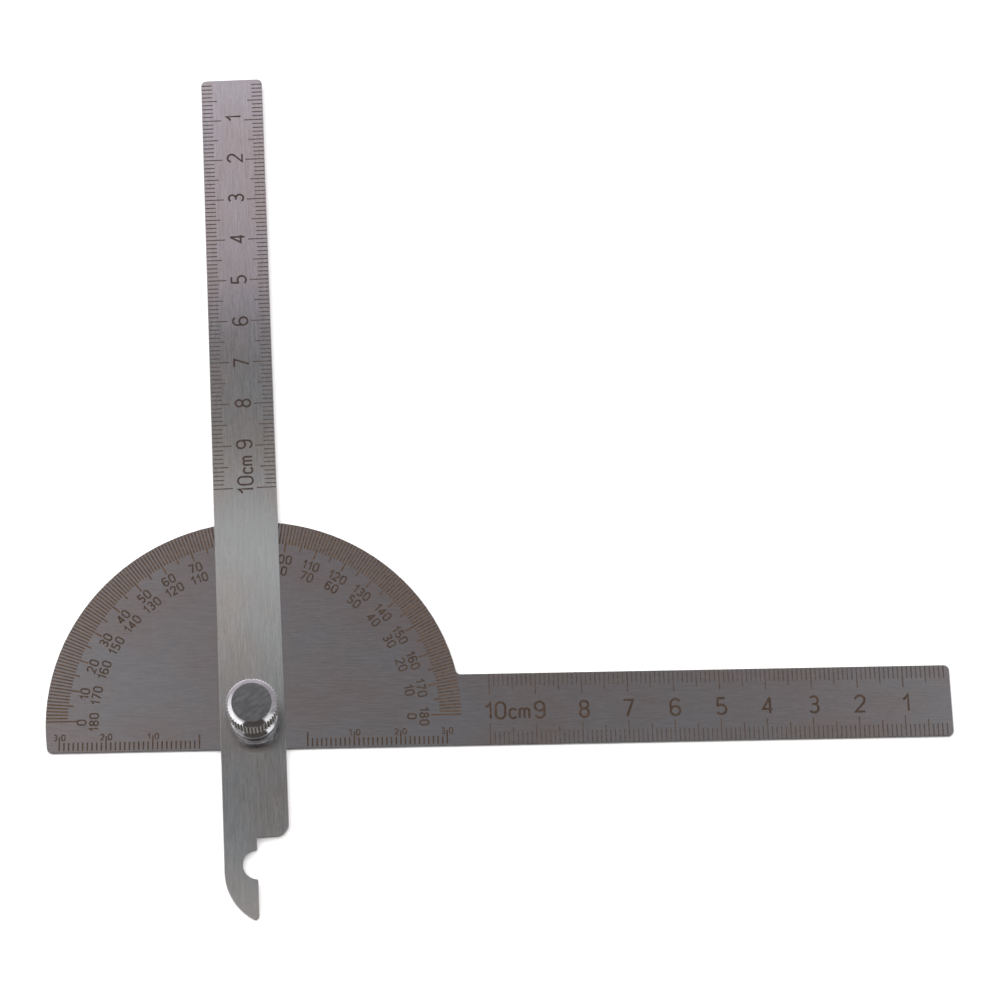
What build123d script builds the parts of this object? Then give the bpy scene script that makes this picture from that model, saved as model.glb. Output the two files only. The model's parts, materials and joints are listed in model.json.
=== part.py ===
from build123d import *
import os
from math import cos, pi, radians, sin

# Double-arm protractor. Millimetres, +Z up. The origin is on the pivot axis at the
# underside of the base plate, which lies flat on the work. +X runs along the fixed rule.

# Driving dimensions
SHEET = 1.0            # thickness of both steel sheets
EDGE_BREAK = 0.12      # bevel on the sheets' outer edges
CORNER = 1.2           # radius of the sheets' outer corners
GAP = 0.02             # film of clearance between faces that slide on each other
FIT = 0.05             # radial running clearance at the pivot

DISC_R = 44.8          # half disc that carries the degree ring
EDGE_DROP = 7.0        # distance from the pivot axis to the straight reference edge
RULE_W = 16.0          # width of the fixed rule
RULE_END = 151.18      # pivot axis to the free end of the fixed rule
RULE_ROOT = 1.0        # fillet where the disc runs into the rule

SWING_ANGLE = 91.75    # angle from the fixed rule to the swing arm at rest
ARM_W = 14.0           # width of the swing arm
ARM_OFFSET = 0.33      # the arm's centreline passes this far to the left of the pivot
ARM_END = 152.75       # pivot axis to the free end of the swing arm
STEP_U = -26.7         # where the arm narrows to its tail
STEP_R = 2.8           # rounded shoulder beside the step
TAIL_V = -0.1          # inner edge of the tail, measured from the arm's centreline
HOOK_R = 12.0          # long curve on the back of the tail
HOOK_U = -33.9         # where that curve leaves the arm's straight edge
TIP_R = 0.8            # rounded point of the tail
NOTCH_U = -32.5        # centre of the half-round notch in the tail's inner edge
NOTCH_R = 3.1
NOTCH_LIP = 0.35       # rounded lips of the notch and of the step's inner corner

STUD_HEAD_R = 4.0      # flush head, seated in a counterbore of the base plate
STUD_HEAD_H = 0.5
STUD_NECK = 5.2        # square neck that stops the stud from turning
STUD_JOURNAL_R = 2.5   # the swing arm turns on this
THREAD_R = 2.0         # M4 x 0.7 thread, drawn as a plain shank
STUD_TOP = 9.6
STUD_TIP = 0.4         # bevel at the end of the thread

WASHER_R = 5.0
WASHER_H = 0.5

NUT_R = 5.55           # over the crests of the knurl
NUT_H = 10.9
NUT_FACE_R = 4.28      # flat polished top
NUT_BEVEL_H = 0.85     # height of the bevel around that top
HEAD_H = 5.3           # knurled head, with its bevel
KNURL_TEETH = 46
KNURL_DEPTH = 0.3
NECK_R = 4.3           # waist between the head and the foot
FOOT_R = 5.2
FOOT_H = 1.05          # straight rim of the foot, under its 45 degree slope
RIM_BREAK = 0.2        # small bevels under the head and under the foot
NUT_BORE_DEPTH = 8.2   # blind tapped hole

# Levels, all measured from the underside of the base plate
ARM_Z = SHEET + GAP
ARM_TOP = ARM_Z + SHEET
WASHER_Z = ARM_TOP + GAP
NUT_Z = WASHER_Z + WASHER_H
NUT_TOP = NUT_Z + NUT_H
HEAD_Z = NUT_TOP - HEAD_H


def round_corners(sketch, corners):
    """Round the sketch's corner nearest to each (x, y) with its radius."""
    for x, y, radius in corners:
        fillet(sketch.vertices().sort_by_distance((x, y))[0], radius=radius)


def break_edges(part, bottom, top):
    """Bevel the outer edges of a sheet's two faces."""
    for level in (bottom, top):
        face = part.faces().filter_by_position(Axis.Z, level - GAP / 4, level + GAP / 4)[0]
        chamfer(face.outer_wire().edges(), length=EDGE_BREAK)


# Base plate: half disc and fixed rule, cut from one sheet
half_chord = (DISC_R**2 - EDGE_DROP**2) ** 0.5
rule_top = RULE_W - EDGE_DROP
with BuildPart() as base_plate:
    with BuildSketch() as plate_outline:
        Circle(DISC_R)
        with Locations((0, -EDGE_DROP)):
            Rectangle(3 * DISC_R, 2 * DISC_R, align=(Align.CENTER, Align.MAX), mode=Mode.SUBTRACT)
            Rectangle(RULE_END, RULE_W, align=(Align.MIN, Align.MIN))
        round_corners(plate_outline, [
            (-half_chord, -EDGE_DROP, CORNER),
            (DISC_R, rule_top, RULE_ROOT),
            (RULE_END, -EDGE_DROP, CORNER),
            (RULE_END, rule_top, CORNER),
        ])
    extrude(amount=SHEET)
    break_edges(base_plate, 0, SHEET)
    # Seat of the stud's flush head, and the square hole for its neck
    with BuildSketch():
        Circle(STUD_HEAD_R + FIT / 2)
    extrude(amount=STUD_HEAD_H, mode=Mode.SUBTRACT)
    with BuildSketch():
        Rectangle(STUD_NECK + FIT, STUD_NECK + FIT)
    extrude(amount=SHEET, mode=Mode.SUBTRACT)
base_plate.part.label = "base_plate"

# Swing arm: straight scale with a hooked tail, drawn along its own centreline
along_arm = Vector(cos(radians(SWING_ANGLE)), sin(radians(SWING_ANGLE)), 0)
across_arm = Vector(-along_arm.Y, along_arm.X, 0)
arm_plane = Plane(
    origin=across_arm * ARM_OFFSET + Vector(0, 0, ARM_Z),
    x_dir=along_arm,
    z_dir=(0, 0, 1),
)
hook_centre_v = ARM_W / 2 - HOOK_R
hook_tip_u = HOOK_U - (HOOK_R**2 - (TAIL_V - hook_centre_v) ** 2) ** 0.5
with BuildPart() as swing_arm:
    with BuildSketch(arm_plane) as arm_outline:
        with Locations((STEP_U, 0)):
            Rectangle(ARM_END - STEP_U, ARM_W, align=(Align.MIN, Align.CENTER))
        with BuildLine():
            back = Line((STEP_U, ARM_W / 2), (HOOK_U, ARM_W / 2))
            hook = TangentArc(back @ 1, (hook_tip_u, TAIL_V), tangent=back % 1)
            Polyline(hook @ 1, (STEP_U, TAIL_V), back @ 0)
        make_face()
        with Locations((NOTCH_U, TAIL_V)):
            Circle(NOTCH_R, mode=Mode.SUBTRACT)
        round_corners(arm_outline, [
            (ARM_END, ARM_W / 2, CORNER),
            (ARM_END, -ARM_W / 2, CORNER),
            (STEP_U, -ARM_W / 2, STEP_R),
            (STEP_U, TAIL_V, NOTCH_LIP),
            (NOTCH_U + NOTCH_R, TAIL_V, NOTCH_LIP),
            (NOTCH_U - NOTCH_R, TAIL_V, NOTCH_LIP),
            (hook_tip_u, TAIL_V, TIP_R),
        ])
    extrude(amount=SHEET)
    break_edges(swing_arm, ARM_Z, ARM_TOP)
    with BuildSketch(Plane.XY.offset(ARM_Z)):
        Circle(STUD_JOURNAL_R + FIT)
    extrude(amount=SHEET, mode=Mode.SUBTRACT)
swing_arm.part.label = "swing_arm"

# Pivot stud: flush head, square neck, journal for the arm and thread for the nut
with BuildPart() as pivot_stud:
    with BuildSketch():
        Circle(STUD_HEAD_R)
    extrude(amount=STUD_HEAD_H)
    with BuildSketch():
        Rectangle(STUD_NECK, STUD_NECK)
    extrude(amount=SHEET)
    with BuildSketch():
        Circle(STUD_JOURNAL_R)
    extrude(amount=ARM_TOP - GAP)
    with BuildSketch():
        Circle(THREAD_R)
    extrude(amount=STUD_TOP)
    chamfer(pivot_stud.edges().group_by(Axis.Z)[-1], length=STUD_TIP)
pivot_stud.part.label = "pivot_stud"

# Washer between the nut and the swing arm
with BuildPart() as washer:
    with BuildSketch(Plane.XY.offset(WASHER_Z)):
        Circle(WASHER_R)
        Circle(THREAD_R + 2 * FIT, mode=Mode.SUBTRACT)
    extrude(amount=WASHER_H)
    chamfer(washer.edges().group_by(Axis.Z)[-1].sort_by(SortBy.LENGTH)[-1], length=EDGE_BREAK)
washer.part.label = "washer"

# Thumb nut: sloping foot, waist, and a straight-knurled head with a bevelled flat top
tooth = 2 * pi / KNURL_TEETH
crests_and_roots = [
    (radius * cos((k + shift) * tooth), radius * sin((k + shift) * tooth))
    for k in range(KNURL_TEETH)
    for radius, shift in ((NUT_R, 0), (NUT_R - KNURL_DEPTH, 0.5))
]
with BuildPart() as thumb_nut:
    with BuildSketch(Plane.XZ):
        with BuildLine():
            Polyline(
                (0, NUT_Z),
                (FOOT_R - RIM_BREAK, NUT_Z),
                (FOOT_R, NUT_Z + RIM_BREAK),
                (FOOT_R, NUT_Z + FOOT_H),
                (NECK_R, NUT_Z + FOOT_H + FOOT_R - NECK_R),
                (NECK_R, HEAD_Z),
                (0, HEAD_Z),
                close=True,
            )
        make_face()
    revolve(axis=Axis.Z)
    with BuildSketch(Plane.XY.offset(HEAD_Z)):
        with BuildLine():
            Polyline(*crests_and_roots, close=True)
        make_face()
    extrude(amount=HEAD_H)
    # The head's bevels are turned after the knurl, so they cut the ends of the teeth
    with BuildSketch(Plane.XZ):
        with BuildLine():
            Polyline(
                (NUT_FACE_R, NUT_TOP),
                (NUT_R, NUT_TOP - NUT_BEVEL_H),
                (NUT_R + 1, NUT_TOP - NUT_BEVEL_H),
                (NUT_R + 1, NUT_TOP),
                close=True,
            )
        make_face()
        with BuildLine():
            Polyline(
                (NUT_R - 2 * RIM_BREAK, HEAD_Z),
                (NUT_R, HEAD_Z + 2 * RIM_BREAK),
                (NUT_R + 1, HEAD_Z + 2 * RIM_BREAK),
                (NUT_R + 1, HEAD_Z),
                close=True,
            )
        make_face()
    revolve(axis=Axis.Z, mode=Mode.SUBTRACT)
    with BuildSketch(Plane.XY.offset(NUT_Z)):
        Circle(THREAD_R + FIT)
    extrude(amount=NUT_BORE_DEPTH, mode=Mode.SUBTRACT)
thumb_nut.part.label = "thumb_nut"

os.makedirs("parts", exist_ok=True)
export_step(base_plate.part, "parts/base_plate.step")
export_step(swing_arm.part, "parts/swing_arm.step")
export_step(pivot_stud.part, "parts/pivot_stud.step")
export_step(washer.part, "parts/washer.step")
export_step(thumb_nut.part, "parts/thumb_nut.step")
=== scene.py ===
import json
import math

import bmesh
import bpy
from mathutils import Matrix, Vector


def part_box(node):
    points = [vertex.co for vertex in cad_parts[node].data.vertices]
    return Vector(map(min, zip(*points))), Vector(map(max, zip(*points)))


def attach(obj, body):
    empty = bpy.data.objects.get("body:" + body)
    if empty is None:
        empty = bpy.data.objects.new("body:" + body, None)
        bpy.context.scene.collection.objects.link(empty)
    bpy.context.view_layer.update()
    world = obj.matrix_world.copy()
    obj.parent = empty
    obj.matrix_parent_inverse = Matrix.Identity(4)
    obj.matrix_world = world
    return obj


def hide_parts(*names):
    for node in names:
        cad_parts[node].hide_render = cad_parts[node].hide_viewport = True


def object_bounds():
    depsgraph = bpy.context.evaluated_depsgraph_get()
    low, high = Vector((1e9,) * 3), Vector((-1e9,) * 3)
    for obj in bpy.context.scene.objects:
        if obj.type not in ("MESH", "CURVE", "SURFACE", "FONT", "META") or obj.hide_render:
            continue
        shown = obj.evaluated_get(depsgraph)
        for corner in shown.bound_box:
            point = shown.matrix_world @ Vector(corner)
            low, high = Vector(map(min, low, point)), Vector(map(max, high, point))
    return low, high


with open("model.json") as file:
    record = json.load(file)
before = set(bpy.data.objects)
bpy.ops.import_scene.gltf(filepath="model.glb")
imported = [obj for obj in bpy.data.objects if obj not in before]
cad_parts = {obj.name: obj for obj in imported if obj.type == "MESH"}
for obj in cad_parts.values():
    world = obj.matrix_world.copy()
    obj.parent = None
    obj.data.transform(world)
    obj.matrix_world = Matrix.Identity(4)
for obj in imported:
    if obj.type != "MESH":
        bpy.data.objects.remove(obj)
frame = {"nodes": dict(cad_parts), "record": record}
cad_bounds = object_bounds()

MM = 0.001

# ---------------------------------------------------------------- places taken from the frame
plate_low, plate_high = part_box("base_plate")
arm_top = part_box("swing_arm")[1].z
stud_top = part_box("pivot_stud")[1].z
nut_low, nut_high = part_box("thumb_nut")
mounts = {m["name"]: m for m in frame["record"]["mounts"]}
edge_normal = mounts["arm_edge"]["axis"]
arm_angle = math.atan2(edge_normal[1], edge_normal[0]) + math.pi / 2
arm_turn = Matrix.Rotation(arm_angle, 4, "Z")
arm_places = [arm_turn.inverted() @ v.co for v in frame["nodes"]["swing_arm"].data.vertices]
arm_end = max(place.x for place in arm_places)
plate_top = plate_high.z
rule_end = plate_high.x
rule_foot = plate_low.y
disc_radius = max(v.co.y for v in frame["nodes"]["base_plate"].data.vertices)

RULE_WIDTH = 16 * MM
ARM_WIDTH = 14 * MM
arm_middle = max(place.y for place in arm_places) - ARM_WIDTH / 2
EDGE_BREAK = 0.12 * MM     # bevel on the sheets' edges, which carries no marks
SLIDING_GAP = 0.02 * MM    # between faces that slide on each other
HEAD_HEIGHT = 5.3 * MM     # of the thumb nut's knurled head
BEVEL_HEIGHT = 0.85 * MM   # of the bevel round its top
KNURL_TEETH = 46
KNURL_DEPTH = 0.3 * MM
NUT_FOOT = 5.2 * MM        # radii of the thumb nut
NUT_WAIST = 4.3 * MM
NUT_FACE = 4.28 * MM
NUT_BORE = 2.05 * MM
NUT_BORE_DEPTH = 8.2 * MM
FOOT_RIM = 1.0 * MM        # height of the foot's upright rim
SOFT_EDGE = 0.2 * MM       # radius of the nut's rounded edges
STUD_HEAD = 4.0 * MM       # radii of the pivot stud
STUD_JOURNAL = 2.5 * MM
STUD_HEAD_HEIGHT = 0.5 * MM
STUD_TIP = 0.4 * MM        # bevel at the end of the thread
THREAD_RADIUS = 2.0 * MM
THREAD_PITCH = 0.7 * MM
THREAD_DEPTH = 0.38 * MM

# ---------------------------------------------------------------- camera
CAMERA_PLACE = Vector((30.73, -187.76, 667.21)) * MM
CAMERA_PITCH = math.radians(19.546)
CAMERA_YAW = math.radians(-2.03)
CAMERA_ROLL = math.radians(-1.656)
FOCAL_LENGTH = 115.13      # on a 36 mm wide sensor


def make_camera():
    data = bpy.data.cameras.new("camera")
    data.lens = FOCAL_LENGTH
    data.sensor_width = 36
    data.clip_start = 0.01
    data.clip_end = 20
    camera = bpy.data.objects.new("camera", data)
    bpy.context.scene.collection.objects.link(camera)
    camera.matrix_world = (
        Matrix.Translation(CAMERA_PLACE)
        @ Matrix.Rotation(CAMERA_YAW, 4, "Y")
        @ Matrix.Rotation(CAMERA_PITCH, 4, "X")
        @ Matrix.Rotation(CAMERA_ROLL, 4, "Z")
    )
    bpy.context.scene.camera = camera


# ---------------------------------------------------------------- node helpers
class Nodes:
    """A material's or the world's node tree, with short ways to add and join nodes."""

    def __init__(self, owner):
        owner.use_nodes = True
        self.tree = owner.node_tree
        self.tree.nodes.clear()

    def add(self, kind, **settings):
        node = self.tree.nodes.new(kind)
        for key, value in settings.items():
            setattr(node, key, value)
        return node

    def feed(self, socket, value):
        if isinstance(value, bpy.types.NodeSocket):
            self.tree.links.new(value, socket)
        else:
            socket.default_value = value

    def math(self, operation, *values):
        node = self.add("ShaderNodeMath", operation=operation)
        for socket, value in zip(node.inputs, values):
            self.feed(socket, value)
        return node.outputs[0]

    def length(self, x, y):
        squares = (self.math("POWER", self.math("ABSOLUTE", side), 2.0) for side in (x, y))
        return self.math("SQRT", self.math("ADD", *squares))

    def span(self, value, low, high, to_low=0.0, to_high=1.0, smooth=True):
        node = self.add("ShaderNodeMapRange", interpolation_type="SMOOTHSTEP" if smooth else "LINEAR")
        for socket, item in zip(node.inputs, (value, low, high, to_low, to_high)):
            self.feed(socket, item)
        return node.outputs[0]

    def mix(self, factor, first, second):
        node = self.add("ShaderNodeMix", data_type="RGBA")
        self.feed(node.inputs[0], factor)
        self.feed(node.inputs[6], first)
        self.feed(node.inputs[7], second)
        return node.outputs[2]

    def times(self, first, second):
        node = self.add("ShaderNodeMix", data_type="RGBA", blend_type="MULTIPLY")
        self.feed(node.inputs[0], 1.0)
        self.feed(node.inputs[6], first)
        self.feed(node.inputs[7], second)
        return node.outputs[2]

    def ramp(self, value, stops):
        node = self.add("ShaderNodeValToRGB")
        elements = node.color_ramp.elements
        for place, _ in stops[2:]:
            elements.new(place)
        for element, (place, colour) in zip(elements, stops):
            element.position = place
            element.color = colour
        self.feed(node.inputs[0], value)
        return node.outputs[0]

    def noise(self, vector, scale, detail=2.0, roughness=0.5):
        node = self.add("ShaderNodeTexNoise")
        self.feed(node.inputs["Vector"], vector)
        node.inputs["Scale"].default_value = scale
        node.inputs["Detail"].default_value = detail
        node.inputs["Roughness"].default_value = roughness
        return node.outputs[0]

    def split(self, vector):
        node = self.add("ShaderNodeSeparateXYZ")
        self.feed(node.inputs[0], vector)
        return node.outputs

    def stretched(self, scale, turn=0.0):
        """Object coordinates turned about Z, then scaled along each axis."""
        place = self.add("ShaderNodeTexCoord").outputs["Object"]
        turned = self.add("ShaderNodeVectorRotate", rotation_type="Z_AXIS")
        self.feed(turned.inputs["Vector"], place)
        turned.inputs["Angle"].default_value = -turn
        scaled = self.add("ShaderNodeMapping")
        self.feed(scaled.inputs["Vector"], turned.outputs[0])
        scaled.inputs["Scale"].default_value = scale
        return scaled.outputs[0]


def grey(level, tint=(1, 1, 1)):
    return (level * tint[0], level * tint[1], level * tint[2], 1)


# ---------------------------------------------------------------- materials
def principled(name):
    material = bpy.data.materials.new(name)
    nodes = Nodes(material)
    shader = nodes.add("ShaderNodeBsdfPrincipled")
    output = nodes.add("ShaderNodeOutputMaterial")
    nodes.feed(output.inputs[0], shader.outputs[0])
    return material, nodes, shader


def brushed_steel(name, light, dark, brush_angle, roughness, painted_shadow_ring=None):
    """Sheet steel brushed in one direction: fine streaks in its colour, gloss and relief, faint
    cool and warm clouds, and duller cut edges. A painted shadow ring round a nut, if given, is its
    centre in x and y, its inner and outer radius and its level inside: the steel is darkened there
    as if the nut shaded it."""
    material, nodes, shader = principled(name)
    fine = nodes.noise(nodes.stretched((900, 9000, 900), brush_angle), 1.0, 3.0, 0.6)
    broad = nodes.noise(nodes.stretched((260, 3800, 260), brush_angle), 1.0, 2.0)
    cloud = nodes.noise(nodes.stretched((38, 60, 38), brush_angle), 1.0, 3.0)
    streaks = nodes.math("ADD", nodes.math("MULTIPLY", fine, 0.55), nodes.math("MULTIPLY", broad, 0.45))
    tone = nodes.math("ADD", nodes.math("MULTIPLY", streaks, 0.75), nodes.math("MULTIPLY", cloud, 0.25))
    tint = nodes.mix(nodes.span(cloud, 0.38, 0.62), (1.0, 0.958, 0.948, 1), (0.955, 0.982, 1.005, 1))
    face = nodes.times(nodes.mix(nodes.span(tone, 0.30, 0.70), dark, light), tint)
    if painted_shadow_ring:
        # Painted shadow: the steel darkens to the given level inside a ring round the nut, its centre
        # set off towards +x and -y as a cast shadow falls
        centre_x, centre_y, inner, outer, level = painted_shadow_ring
        x, y, z = nodes.split(nodes.add("ShaderNodeTexCoord").outputs["Object"])
        away_x = nodes.math("SUBTRACT", x, centre_x)
        away_y = nodes.math("SUBTRACT", y, centre_y)
        distance = nodes.length(away_x, away_y)
        face = nodes.times(face, nodes.mix(nodes.span(distance, inner, outer), grey(level), grey(1.0)))
    upright = nodes.split(nodes.add("ShaderNodeNewGeometry").outputs["True Normal"])[2]
    edge = nodes.span(nodes.math("ABSOLUTE", upright), 0.75, 0.97, 1.0, 0.0)
    nodes.feed(shader.inputs["Base Color"], nodes.mix(edge, face, nodes.times(face, grey(0.55))))
    shader.inputs["Metallic"].default_value = 1
    gloss = nodes.span(streaks, 0.3, 0.7, roughness - 0.03, roughness + 0.03, smooth=False)
    nodes.feed(shader.inputs["Roughness"], nodes.math("ADD", gloss, nodes.math("MULTIPLY", edge, 0.15)))
    shader.inputs["Anisotropic"].default_value = 1
    bump = nodes.add("ShaderNodeBump")
    bump.inputs["Strength"].default_value = 0.3
    bump.inputs["Distance"].default_value = 0.004 * MM
    nodes.feed(bump.inputs["Height"], fine)
    nodes.feed(shader.inputs["Normal"], bump.outputs[0])
    across = nodes.add(
        "ShaderNodeVectorTransform", vector_type="VECTOR", convert_from="OBJECT", convert_to="WORLD"
    )
    across.inputs[0].default_value = (-math.sin(brush_angle), math.cos(brush_angle), 0)
    nodes.feed(shader.inputs["Tangent"], across.outputs[0])
    return material


def polished_chrome(name, colour, roughness, knurl=None):
    """Bright plating with faint polishing haze, hairlines and a few scratches. The knurl, if given,
    is the radius of its roots and of its crests and its lowest and highest level: its crests are
    rubbed bright by wear and rougher, and painted shade darkens its roots nearly to black."""
    material, nodes, shader = principled(name)
    haze = nodes.noise(nodes.stretched((420, 1300, 900), 0.5), 1.0, 5.0, 0.65)
    hairlines = nodes.noise(nodes.stretched((700, 9000, 700), 0.6), 1.0, 2.0)
    scratches = nodes.noise(nodes.stretched((900, 9000, 900), -0.5), 1.0, 2.0)
    shade = nodes.mix(nodes.span(haze, 0.35, 0.65), grey(0.88, colour), grey(1.04, colour))
    scored = nodes.math("MULTIPLY", nodes.span(scratches, 0.60, 0.70), nodes.span(haze, 0.50, 0.62))
    shade = nodes.mix(scored, shade, grey(1.5, colour))
    rough = nodes.span(haze, 0.3, 0.7, roughness, roughness + 0.07)
    if knurl:
        root, crest, low, high = knurl
        x, y, z = nodes.split(nodes.add("ShaderNodeTexCoord").outputs["Object"])
        radius = nodes.length(x, y)
        above = nodes.math("GREATER_THAN", z, low)
        below = nodes.math("LESS_THAN", z, high)
        band = nodes.math("MULTIPLY", above, below)
        outside = nodes.math("MULTIPLY", band, nodes.math("GREATER_THAN", radius, root - 0.05 * MM))
        # Painted shade in the knurl's roots: near black there, blending out to the crests' rubbed metal
        # colour
        root_shade, crest_metal = (0.03, 0.026, 0.02, 1), (0.43, 0.415, 0.39, 1)
        shaded_roots_rubbed_crests = nodes.mix(nodes.span(radius, root, crest), root_shade, crest_metal)
        shade = nodes.mix(outside, shade, shaded_roots_rubbed_crests)
        rough = nodes.math("ADD", rough, nodes.math("MULTIPLY", outside, 0.3))
    nodes.feed(shader.inputs["Base Color"], shade)
    shader.inputs["Metallic"].default_value = 1
    nodes.feed(shader.inputs["Roughness"], rough)
    bump = nodes.add("ShaderNodeBump")
    bump.inputs["Strength"].default_value = 0.12
    bump.inputs["Distance"].default_value = 0.004 * MM
    nodes.feed(bump.inputs["Height"], hairlines)
    nodes.feed(shader.inputs["Normal"], bump.outputs[0])
    return material


def etched_brown(name, dark, light):
    """Brown-black oxide of an etched mark, a little uneven along its length."""
    material, nodes, shader = principled(name)
    patches = nodes.noise(nodes.stretched((1400, 1400, 1400)), 1.0, 3.0, 0.6)
    nodes.feed(shader.inputs["Base Color"], nodes.mix(nodes.span(patches, 0.35, 0.65), dark, light))
    shader.inputs["Specular IOR Level"].default_value = 0.2
    nodes.feed(shader.inputs["Roughness"], nodes.span(patches, 0.3, 0.7, 0.5, 0.7))
    return material


def floor_white():
    material, nodes, shader = principled("floor_white")
    patches = nodes.noise(nodes.stretched((3, 3, 3)), 1.0, 2.0)
    nodes.feed(shader.inputs["Base Color"], nodes.mix(patches, grey(0.90), grey(0.92)))
    shader.inputs["Roughness"].default_value = 0.8
    shader.inputs["Specular IOR Level"].default_value = 0.2
    return material


# ---------------------------------------------------------------- etched marks
MARK_RISE = 0.004 * MM      # the marks' top over the sheet, and their depth in it
MARK_DEPTH = 0.02 * MM
STROKE_STEP = 0.0015 * MM   # between one stroke and the next, so that crossing strokes aren't coplanar
ARC_STEP = math.radians(15)


class Marks:
    """Strokes on one flat face, joined into one thin mesh that rides on a body."""

    def __init__(self, level, turn=Matrix.Identity(4)):
        self.mesh = bmesh.new()
        self.level = level
        self.turn = turn
        self.strokes = 0

    def stroke(self, points, width, closed=False):
        """A ribbon of even width along the points, with mitred corners."""
        points = [Vector((x, y, 0)) for x, y in points]
        count = len(points)
        rise = MARK_RISE + self.strokes % 4 * STROKE_STEP
        self.strokes += 1
        sides = []
        for i, point in enumerate(points):
            before = points[i - 1] if i or closed else None
            after = points[(i + 1) % count] if i + 1 < count or closed else None
            steps = [s.normalized() for s in (
                point - before if before else None, after - point if after else None) if s]
            ahead = sum(steps, Vector()).normalized()
            stretch = 1 / max(0.5, ahead.dot(steps[0]))
            sides.append(Vector((-ahead.y, ahead.x, 0)) * width / 2 * stretch)
        rings = []
        for point, side in zip(points, sides):
            corners = (
                (point + side, rise), (point - side, rise),
                (point - side, -MARK_DEPTH), (point + side, -MARK_DEPTH),
            )
            rings.append([
                self.mesh.verts.new(self.turn @ (p + Vector((0, 0, self.level + z))))
                for p, z in corners
            ])
        pairs = list(zip(rings, rings[1:])) + ([(rings[-1], rings[0])] if closed else [])
        for near, far in pairs:
            for a in range(4):
                b = (a + 1) % 4
                self.mesh.faces.new((near[a], near[b], far[b], far[a]))
        if not closed:
            self.mesh.faces.new(rings[0][::-1])
            self.mesh.faces.new(rings[-1])

    def finish(self, name, body, material):
        bmesh.ops.recalc_face_normals(self.mesh, faces=self.mesh.faces)
        data = bpy.data.meshes.new(name)
        self.mesh.to_mesh(data)
        self.mesh.free()
        piece = bpy.data.objects.new(name, data)
        bpy.context.scene.collection.objects.link(piece)
        data.materials.append(material)
        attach(piece, body)
        return piece


def arc(x, y, radius, start, end):
    """Points on a circle, from one angle to another in degrees."""
    sweep = math.radians(end - start)
    count = max(2, math.ceil(abs(sweep) / ARC_STEP))
    angles = [math.radians(start) + sweep * i / count for i in range(count + 1)]
    return [(x + radius * math.cos(a), y + radius * math.sin(a)) for a in angles]


# One-stroke figures, 1 high: lists of (points, closed)
GLYPH_WIDTH = 0.56
NARROW = {"1": 0.34, "c": 0.34, "m": 0.51}
BOWL = GLYPH_WIDTH / 2
SIX = [
    (arc(BOWL, 1 - BOWL, BOWL, 25, 180) + [(0.0, BOWL)], False),
    (arc(BOWL, BOWL, BOWL, 0, 360)[:-1], True),
]
GLYPHS = {
    "0": [(arc(BOWL, 1 - BOWL, BOWL, 0, 180) + arc(BOWL, BOWL, BOWL, 180, 360), True)],
    "1": [([(0.0, 0.72), (0.16, 0.80), (0.30, 1.0), (0.30, 0.0)], False)],
    "2": [(arc(BOWL, 1 - BOWL, BOWL, 170, -35) + [(0.0, 0.0), (GLYPH_WIDTH, 0.0)], False)],
    "3": [
        (arc(BOWL, 0.76, 0.24, 150, -90) + [(0.16, 0.52)], False),
        (arc(BOWL, 0.26, 0.26, 75, -150), False),
    ],
    "4": [
        ([(0.42, 0.0), (0.42, 1.0)], False),
        ([(0.42, 1.0), (0.0, 0.28), (GLYPH_WIDTH, 0.28)], False),
    ],
    "5": [([(0.50, 1.0), (0.09, 1.0), (0.04, 0.50)], False), (arc(0.27, 0.30, 0.29, 136, -145), False)],
    "6": SIX,
    "7": [([(0.0, 1.0), (GLYPH_WIDTH, 1.0), (0.20, 0.0)], False)],
    "8": [(arc(BOWL, 0.76, 0.24, -90, 270)[:-1], True), (arc(BOWL, 0.26, 0.26, 90, 450)[:-1], True)],
    "9": [([(GLYPH_WIDTH - x, 1 - y) for x, y in points], closed) for points, closed in SIX],
    "c": [(arc(0.18, 0.34, 0.18, 20, 180) + arc(0.18, 0.19, 0.18, 180, 340), False)],
    "m": [
        ([(0.0, 0.0), (0.0, 0.52)], False),
        (arc(0.13, 0.39, 0.13, 165, 0) + [(0.26, 0.0)], False),
        (arc(0.38, 0.39, 0.13, 165, 0) + [(0.51, 0.0)], False),
    ],
}


def write(marks, text, place, along, height, line, gap):
    """Figures centred on place, reading along a unit direction, their tops to its left. The height
    is over the strokes, and the gap is a share of it."""
    up = (-along[1], along[0])
    tall = height - line
    widths = [NARROW.get(letter, GLYPH_WIDTH) for letter in text]
    start = -(sum(widths) + gap * (len(text) - 1)) / 2
    for letter, letter_width in zip(text, widths):
        for points, closed in GLYPHS[letter]:
            moved = []
            for x, y in points:
                s = (start + x) * tall
                t = (y - 0.5) * tall
                moved.append((
                    place[0] + s * along[0] + t * up[0],
                    place[1] + s * along[1] + t * up[1],
                ))
            marks.stroke(moved, line, closed)
        start += letter_width + gap


# Degree ring
RING_LENGTHS = {10: 6.7 * MM, 5: 5.9 * MM, 1: 4.8 * MM}
RING_LINE = 0.34 * MM
RING_FIGURE = 2.2 * MM
RING_FIGURE_LINE = 0.35 * MM
RING_FIGURE_GAP = 0.32
RING_FIGURE_CENTRE = (-0.2 * MM, -0.28 * MM)    # of both rows, from the pivot
OUTER_ROW = 36.85 * MM
INNER_ROW = 34.2 * MM

# Straight scales
RULE_LENGTHS = {10: 4.8 * MM, 5: 3.9 * MM, 1: 2.9 * MM}
ARM_LENGTHS = {10: 4.4 * MM, 5: 3.5 * MM, 1: 2.5 * MM}
SCALE_LINE = 0.27 * MM
RULE_FIGURE = 4.15 * MM
ARM_FIGURE = 3.74 * MM
RULE_FIGURE_LINE = 0.52 * MM
ARM_FIGURE_LINE = 0.44 * MM
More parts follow.
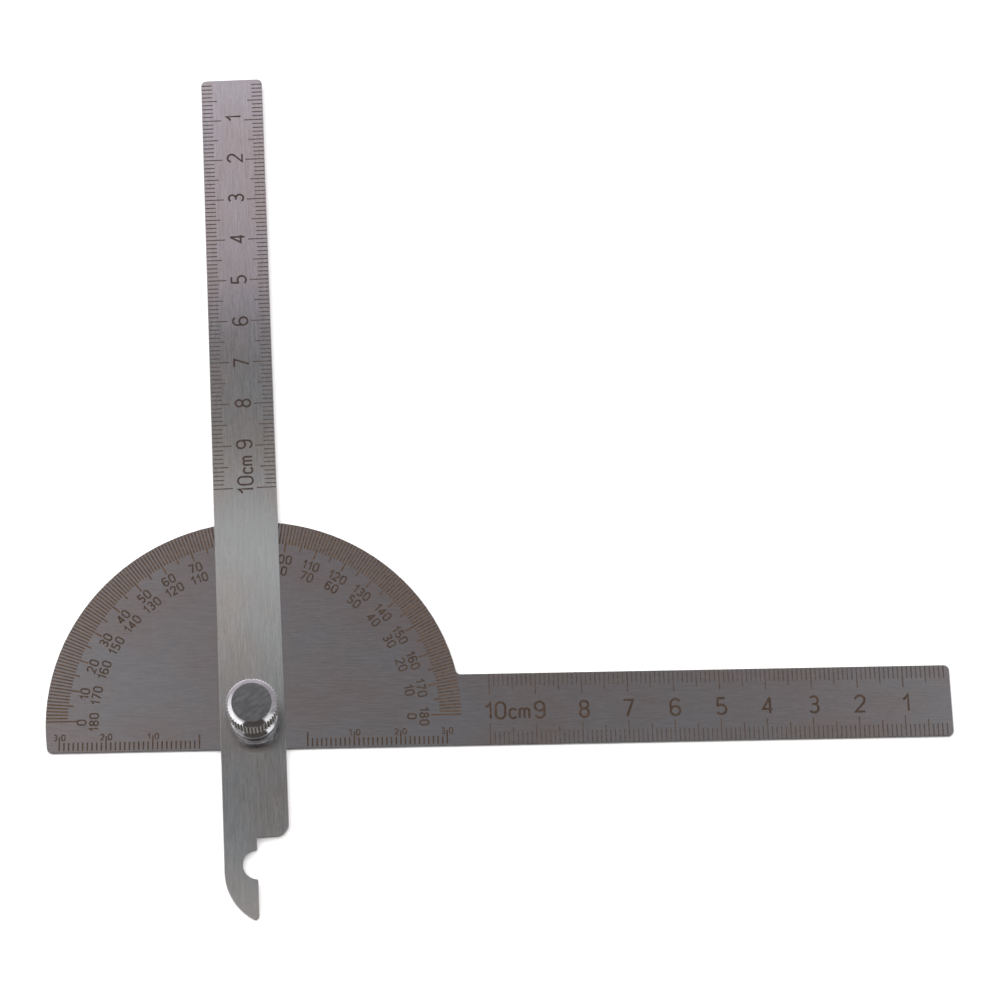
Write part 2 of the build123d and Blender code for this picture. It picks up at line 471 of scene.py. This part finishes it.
# How far figures 1 to 10 sit past their tick, towards the free end
RULE_SHIFTS = [s * MM for s in (0.42, 0.37, 0.32, 0.24, 0.17, 0.21, 0.03, 0.46, 0.77, 1.2)]
ARM_SHIFTS = [s * MM for s in (0.54, 0.41, 0.33, 0.19, 0.04, -0.06, -0.25, 0.11, 0.31, 0.72)]
FIGURE_GAP = 0.27
UNIT_GAP = 0.18
RULE_FIGURE_DROP = 0.35 * MM    # the rows of figures run this far beside the centrelines
ARM_FIGURE_DROP = 0.19 * MM
UNIT_SIZE = 1.12            # of the letters, against the figures
SCALE_INSET = 0.35 * MM     # from the free ends to the zero of each scale
SCALE_SPAN = 100            # ticks, one a millimetre

# Short scales on the lower edge of the disc
EDGE_ZEROS = (-11.74 * MM, 11.51 * MM)   # along X, left and right of the pivot
EDGE_SPAN = 30
EDGE_GAP = 0.45 * MM        # from the plate's edge to the ticks
EDGE_LINE = 0.33 * MM
EDGE_TICK = 1.8 * MM
EDGE_LONG = 3.15 * MM
EDGE_FIGURE = 1.5 * MM
EDGE_FIGURE_LINE = 0.8 * EDGE_LINE
EDGE_FIGURE_DROP = 0.2 * MM     # of the figures' middle, under the top of the long ticks
EDGE_FIGURE_SHIFT = 0.85 * MM   # of the two figures, to the left and right of the long tick


def step_length(lengths, k):
    return next(lengths[step] for step in (10, 5, 1) if k % step == 0)


def degree_ring(tick_ink, figure_ink):
    ticks = Marks(plate_top)
    for k in range(181):
        a = math.radians(k)
        outer = disc_radius - EDGE_BREAK
        inner = disc_radius - step_length(RING_LENGTHS, k)
        ticks.stroke([(r * math.cos(a), r * math.sin(a)) for r in (outer, inner)], RING_LINE)
    ticks.finish("degree_ticks", "base", tick_ink)
    rows = (
        ("degree_figures_outer", OUTER_ROW, lambda k: 180 - k),
        ("degree_figures_inner", INNER_ROW, lambda k: k),
    )
    for name, radius, value in rows:
        figures = Marks(plate_top)
        for k in range(0, 181, 10):
            a = math.radians(k)
            x, y = RING_FIGURE_CENTRE
            place = (x + radius * math.cos(a), y + radius * math.sin(a))
            along = (math.sin(a), -math.cos(a))
            write(figures, str(value(k)), place, along, RING_FIGURE, RING_FIGURE_LINE, RING_FIGURE_GAP)
        figures.finish(name, "base", figure_ink)


def straight_scale(name, level, turn, zero, middle, width, lengths, row, figure, line, shifts,
                   unit_shift, body, tick_ink, figure_ink):
    """Millimetre ticks on both edges and centimetre figures in a row, zero near the free end."""
    ticks = Marks(level, turn)
    for k in range(1, SCALE_SPAN + 1):
        for side in (-1, 1):
            edge = middle + side * (width / 2 - EDGE_BREAK)
            tip = middle + side * (width / 2 - step_length(lengths, k))
            ticks.stroke([(zero - k * MM, edge), (zero - k * MM, tip)], SCALE_LINE)
    ticks.finish(name + "_ticks", body, tick_ink)
    figures = Marks(level, turn)
    for cm, shift in enumerate(shifts, 1):
        write(figures, str(cm), (zero - cm * 10 * MM + shift, row), (1, 0), figure, line, FIGURE_GAP)
    letters = figure * UNIT_SIZE
    place = (zero - SCALE_SPAN * MM + unit_shift, row + (letters - figure) / 2)
    write(figures, "cm", place, (1, 0), letters, line, UNIT_GAP)
    figures.finish(name + "_figures", body, figure_ink)


def edge_scales(tick_ink):
    for name, zero in zip(("left", "right"), EDGE_ZEROS):
        marks = Marks(plate_top)
        for k in range(EDGE_SPAN + 1):
            x = zero + math.copysign(k * MM, zero)
            length = EDGE_LONG if k % 10 == 0 else EDGE_TICK
            low = rule_foot + EDGE_GAP
            marks.stroke([(x, low), (x, low + length)], EDGE_LINE)
            if k and k % 10 == 0:
                height = low + EDGE_LONG - EDGE_FIGURE_DROP
                for digit, side in ((str(k // 10), -1), ("0", 1)):
                    place = (x + side * EDGE_FIGURE_SHIFT, height)
                    write(marks, digit, place, (1, 0), EDGE_FIGURE, EDGE_FIGURE_LINE, 0)
        marks.finish("edge_scale_" + name, "base", tick_ink)


# ---------------------------------------------------------------- threaded stud
def threaded_stud(material):
    """The stud with its real M4 x 0.7 thread, in place of the plain CAD shank."""
    thread_start = arm_top - SLIDING_GAP
    thread_length = stud_top - thread_start
    around = 48
    mesh = bmesh.new()
    rings = []

    def ring(z, radius_at):
        rings.append([
            mesh.verts.new((
                radius_at(j) * math.cos(2 * math.pi * j / around),
                radius_at(j) * math.sin(2 * math.pi * j / around),
                z,
            )) for j in range(around)
        ])

    for z, radius in (
        (0, STUD_HEAD), (STUD_HEAD_HEIGHT, STUD_HEAD), (STUD_HEAD_HEIGHT, STUD_JOURNAL),
        (thread_start, STUD_JOURNAL), (thread_start, THREAD_RADIUS - THREAD_DEPTH),
    ):
        ring(z, lambda j, radius=radius: radius)
    rows = round(thread_length / THREAD_PITCH * 12)
    for i in range(1, rows + 1):
        z = thread_start + thread_length * i / rows
        limit = THREAD_RADIUS - max(0, z - (stud_top - STUD_TIP))

        def helix(j, z=z, limit=limit):
            phase = ((z - thread_start) / THREAD_PITCH - j / around) % 1
            crest = min(1, max(0, 1.25 - 2.5 * abs(phase - 0.5)))
            return min(limit, THREAD_RADIUS - THREAD_DEPTH * (1 - crest))

        ring(z, helix)
    for near, far in zip(rings, rings[1:]):
        for j in range(around):
            k = (j + 1) % around
            mesh.faces.new((near[j], near[k], far[k], far[j]))
    mesh.faces.new(rings[0][::-1])
    mesh.faces.new(rings[-1])
    data = bpy.data.meshes.new("stud_with_thread")
    mesh.to_mesh(data)
    mesh.free()
    data.materials.append(material)
    piece = bpy.data.objects.new("stud_with_thread", data)
    bpy.context.scene.collection.objects.link(piece)
    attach(piece, "base")
    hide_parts("pivot_stud")


# ---------------------------------------------------------------- thumb nut
def knurled_nut(material):
    """The thumb nut with rounded edges and teeth, in place of the sharp CAD solid."""
    head = nut_high.x
    height = nut_high.z - nut_low.z
    head_low = height - HEAD_HEIGHT
    head_high = height - BEVEL_HEIGHT
    profile = [(NUT_BORE, NUT_BORE_DEPTH), (NUT_BORE, 0.0)]
    profile += arc(NUT_FOOT - SOFT_EDGE, SOFT_EDGE, SOFT_EDGE, -90, 0)
    profile += arc(NUT_FOOT - SOFT_EDGE, FOOT_RIM, SOFT_EDGE, 0, 45)
    slope_top = FOOT_RIM + (NUT_FOOT - NUT_WAIST)
    profile += [(NUT_WAIST + 0.08 * MM, slope_top), (NUT_WAIST, slope_top + 0.15 * MM)]
    profile += [(NUT_WAIST, head_low - SOFT_EDGE), (NUT_WAIST + SOFT_EDGE, head_low)]
    profile += [(head - 2 * SOFT_EDGE, head_low)]
    profile += arc(head - SOFT_EDGE, head_low + SOFT_EDGE, SOFT_EDGE, -60, 0)
    # The bevel bulges a little between the teeth and the flat top
    middle = (head - 0.6 * MM, height - 0.28 * MM)
    for i in range(11):
        t = i / 10
        ends = ((head, head_high), (NUT_FACE, height))
        profile.append(tuple(
            (1 - t) ** 2 * a + 2 * t * (1 - t) * b + t * t * c
            for a, b, c in zip(ends[0], middle, ends[1])
        ))
    around = KNURL_TEETH * 8
    mesh = bmesh.new()
    rings = []
    for radius, rise in profile:
        ring = []
        for j in range(around):
            a = 2 * math.pi * j / around
            tooth = head - KNURL_DEPTH * (0.5 - 0.5 * math.cos(a * KNURL_TEETH))
            r = min(radius, tooth) if rise > head_low - SOFT_EDGE else radius
            ring.append(mesh.verts.new((r * math.cos(a), r * math.sin(a), nut_low.z + rise)))
        rings.append(ring)
    for near, far in zip(rings, rings[1:]):
        for j in range(around):
            k = (j + 1) % around
            mesh.faces.new((near[j], near[k], far[k], far[j]))
    mesh.faces.new(rings[0][::-1])
    mesh.faces.new(rings[-1])
    bmesh.ops.recalc_face_normals(mesh, faces=mesh.faces)
    data = bpy.data.meshes.new("knurled_nut")
    mesh.to_mesh(data)
    mesh.free()
    data.shade_smooth()
    data.set_sharp_from_angle(angle=math.radians(17))
    data.materials.append(material)
    piece = bpy.data.objects.new("knurled_nut", data)
    bpy.context.scene.collection.objects.link(piece)
    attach(piece, "thumb_nut")
    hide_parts("thumb_nut")


# ---------------------------------------------------------------- studio
def studio_world():
    """A studio with two long soft boxes overhead, a dim strip between them along Y, bright patches
    low on the left and at the front right, a pale far side, and dim brown in front."""
    world = bpy.data.worlds.new("studio")
    bpy.context.scene.world = world
    nodes = Nodes(world)
    x, y, z = nodes.split(nodes.add("ShaderNodeTexCoord").outputs["Generated"])
    height = nodes.math("MAXIMUM", z, 0.05)
    tilt_x = nodes.math("DIVIDE", x, height)
    tilt_y = nodes.math("DIVIDE", y, height)
    # Soft boxes overhead, uneven along Y, and half as bright in a strip across the middle
    warm, cool, lilac = (1.0, 0.985, 0.97), (0.99, 0.99, 1.0), (1.03, 0.92, 0.99)
    tilt_place = nodes.span(tilt_y, 0.15, 0.60, smooth=False)
    boxes = nodes.ramp(tilt_place, [(place, grey(level, tint)) for place, level, tint in (
        (0.00, 0.80, warm), (0.15, 0.72, warm), (0.19, 0.46, cool), (0.22, 0.34, cool),
        (0.28, 0.34, cool), (0.34, 0.60, warm), (0.38, 0.75, warm), (0.43, 0.89, warm),
        (0.455, 0.88, warm), (0.475, 0.54, warm), (0.52, 0.38, warm), (0.56, 0.34, cool),
        (0.595, 0.26, cool), (0.625, 0.61, lilac), (0.66, 0.75, lilac), (0.72, 0.78, lilac),
        (0.76, 0.80, lilac), (0.81, 0.98, lilac), (1.00, 1.05, lilac),
    )])
    centre = nodes.math("ABSOLUTE", nodes.math("SUBTRACT", tilt_x, 0.05))
    strip = nodes.span(centre, 0.03, 0.30, 0.42, 0.95)
    overhead = nodes.mix(strip, grey(0), boxes)
    # Low down, round the horizon from the left: bright patches beside a dark front
    azimuth = nodes.math("ARCTAN2", y, x)
    turn_place = nodes.span(azimuth, -math.pi, math.pi, smooth=False)

    def horizon(stops):
        return nodes.ramp(turn_place, [
            ((degrees + 180) / 360, grey(level, tint)) for degrees, level, tint in stops
        ])

    low = horizon((
        (-180, 1.90, warm), (-160, 2.10, warm), (-126, 2.20, warm), (-118, 0.04, cool),
        (-52, 0.04, cool), (-44, 1.90, warm), (-22, 1.50, warm), (-12, 0.60, cool),
        (60, 0.60, lilac), (80, 0.80, lilac), (135, 0.80, lilac), (148, 1.30, warm),
        (180, 1.90, warm),
    ))
    lowest = horizon((
        (-180, 0.40, cool), (-165, 0.40, cool), (-150, 0.50, warm), (-128, 0.50, warm),
        (-118, 0.04, cool), (-50, 0.04, cool), (-44, 1.80, warm), (-20, 1.50, warm),
        (-10, 0.45, cool), (45, 0.60, lilac), (60, 0.85, lilac), (135, 0.85, lilac),
        (160, 0.40, cool),
    ))
    # The dark in front reaches higher than the rest
    front = nodes.math("ABSOLUTE", nodes.math("ADD", azimuth, math.radians(84)))
    open_side = nodes.span(front, math.radians(32), math.radians(42))
    around = nodes.mix(nodes.span(z, 0.60, 0.80), low, overhead)
    around = nodes.mix(nodes.span(z, 0.14, 0.32), lowest, around)
    clear = nodes.math("MAXIMUM", open_side, nodes.span(z, 0.86, 0.94))
    sky = nodes.mix(clear, grey(0.12, (1.0, 0.90, 0.82)), around)
    background = nodes.add("ShaderNodeBackground")
    nodes.feed(background.inputs["Color"], sky)
    background.inputs["Strength"].default_value = 1.0
    output = nodes.add("ShaderNodeOutputWorld")
    nodes.feed(output.inputs[0], background.outputs[0])


def soft_light(name, place, target, size, watts):
    data = bpy.data.lights.new(name, "AREA")
    data.shape = "RECTANGLE"
    data.size, data.size_y = size
    data.energy = watts
    light = bpy.data.objects.new(name, data)
    bpy.context.scene.collection.objects.link(light)
    light.location = place
    light.rotation_euler = (Vector(target) - Vector(place)).to_track_quat("-Z", "Y").to_euler()
    light.visible_glossy = False


def floor(material):
    data = bpy.data.meshes.new("floor")
    mesh = bmesh.new()
    half = 3.0
    level = cad_bounds[0][2] - 0.05 * MM
    corners = ((-half, -half), (half, -half), (half, half), (-half, half))
    mesh.faces.new([mesh.verts.new((x, y, level)) for x, y in corners])
    mesh.to_mesh(data)
    mesh.free()
    data.materials.append(material)
    plane = bpy.data.objects.new("floor", data)
    bpy.context.scene.collection.objects.link(plane)


def dress(node, material):
    slots = frame["nodes"][node].data.materials
    slots.clear()
    slots.append(material)


bpy.context.scene.view_settings.view_transform = "Standard"
make_camera()
studio_world()
soft_light("key", (-0.7, 0.5, 0.9), (0, 0, 0), (0.5, 0.5), 3)
soft_light("fill", (0, 0, 2.2), (0, 0, 0), (3.5, 3.5), 75)
floor(floor_white())

dress("base_plate", brushed_steel(
    "plate_steel", grey(0.43, (1.0, 0.98, 0.98)), grey(0.35, (1.0, 0.97, 0.98)), 0.0, 0.21))
dress("swing_arm", brushed_steel(
    "arm_steel", grey(0.75), grey(0.62, (1.0, 0.99, 0.98)), arm_angle, 0.14,
    # painted shadow round the thumb nut: centre, inner and outer radius, level inside
    (0.7 * MM, -0.9 * MM, 4.6 * MM, 7.6 * MM, 0.68)))
dress("washer", polished_chrome("washer_bright", (0.50, 0.50, 0.50), 0.2))
knurled_nut(polished_chrome(
    "nut_chrome", (0.47, 0.47, 0.495), 0.05,
    (nut_high.x - KNURL_DEPTH, nut_high.x, nut_high.z - HEAD_HEIGHT, nut_high.z - BEVEL_HEIGHT)))

ring_ink = etched_brown("ring_etching", (0.045, 0.027, 0.016, 1), (0.075, 0.046, 0.029, 1))
rule_tick_ink = etched_brown("rule_tick_etching", (0.040, 0.030, 0.025, 1), (0.060, 0.047, 0.040, 1))
figure_ink = etched_brown("figure_etching", (0.028, 0.018, 0.012, 1), (0.048, 0.032, 0.023, 1))
arm_tick_ink = etched_brown("arm_tick_etching", (0.042, 0.031, 0.029, 1), (0.072, 0.055, 0.050, 1))
arm_figure_ink = etched_brown("arm_figure_etching", (0.024, 0.017, 0.015, 1), (0.042, 0.030, 0.026, 1))
degree_ring(ring_ink, figure_ink)
edge_scales(figure_ink)
rule_middle = rule_foot + RULE_WIDTH / 2
straight_scale(
    "rule", plate_top, Matrix.Identity(4), rule_end - SCALE_INSET, rule_middle, RULE_WIDTH,
    RULE_LENGTHS, rule_middle - RULE_FIGURE_DROP, RULE_FIGURE, RULE_FIGURE_LINE, RULE_SHIFTS,
    6.4 * MM, "base", rule_tick_ink, figure_ink)
straight_scale(
    "arm", arm_top, arm_turn, arm_end - SCALE_INSET, arm_middle, ARM_WIDTH,
    ARM_LENGTHS, arm_middle - ARM_FIGURE_DROP, ARM_FIGURE, ARM_FIGURE_LINE, ARM_SHIFTS,
    5.4 * MM, "swing_arm", arm_tick_ink, arm_figure_ink)
threaded_stud(brushed_steel("stud_turned", grey(0.60), grey(0.48), 0.0, 0.3))
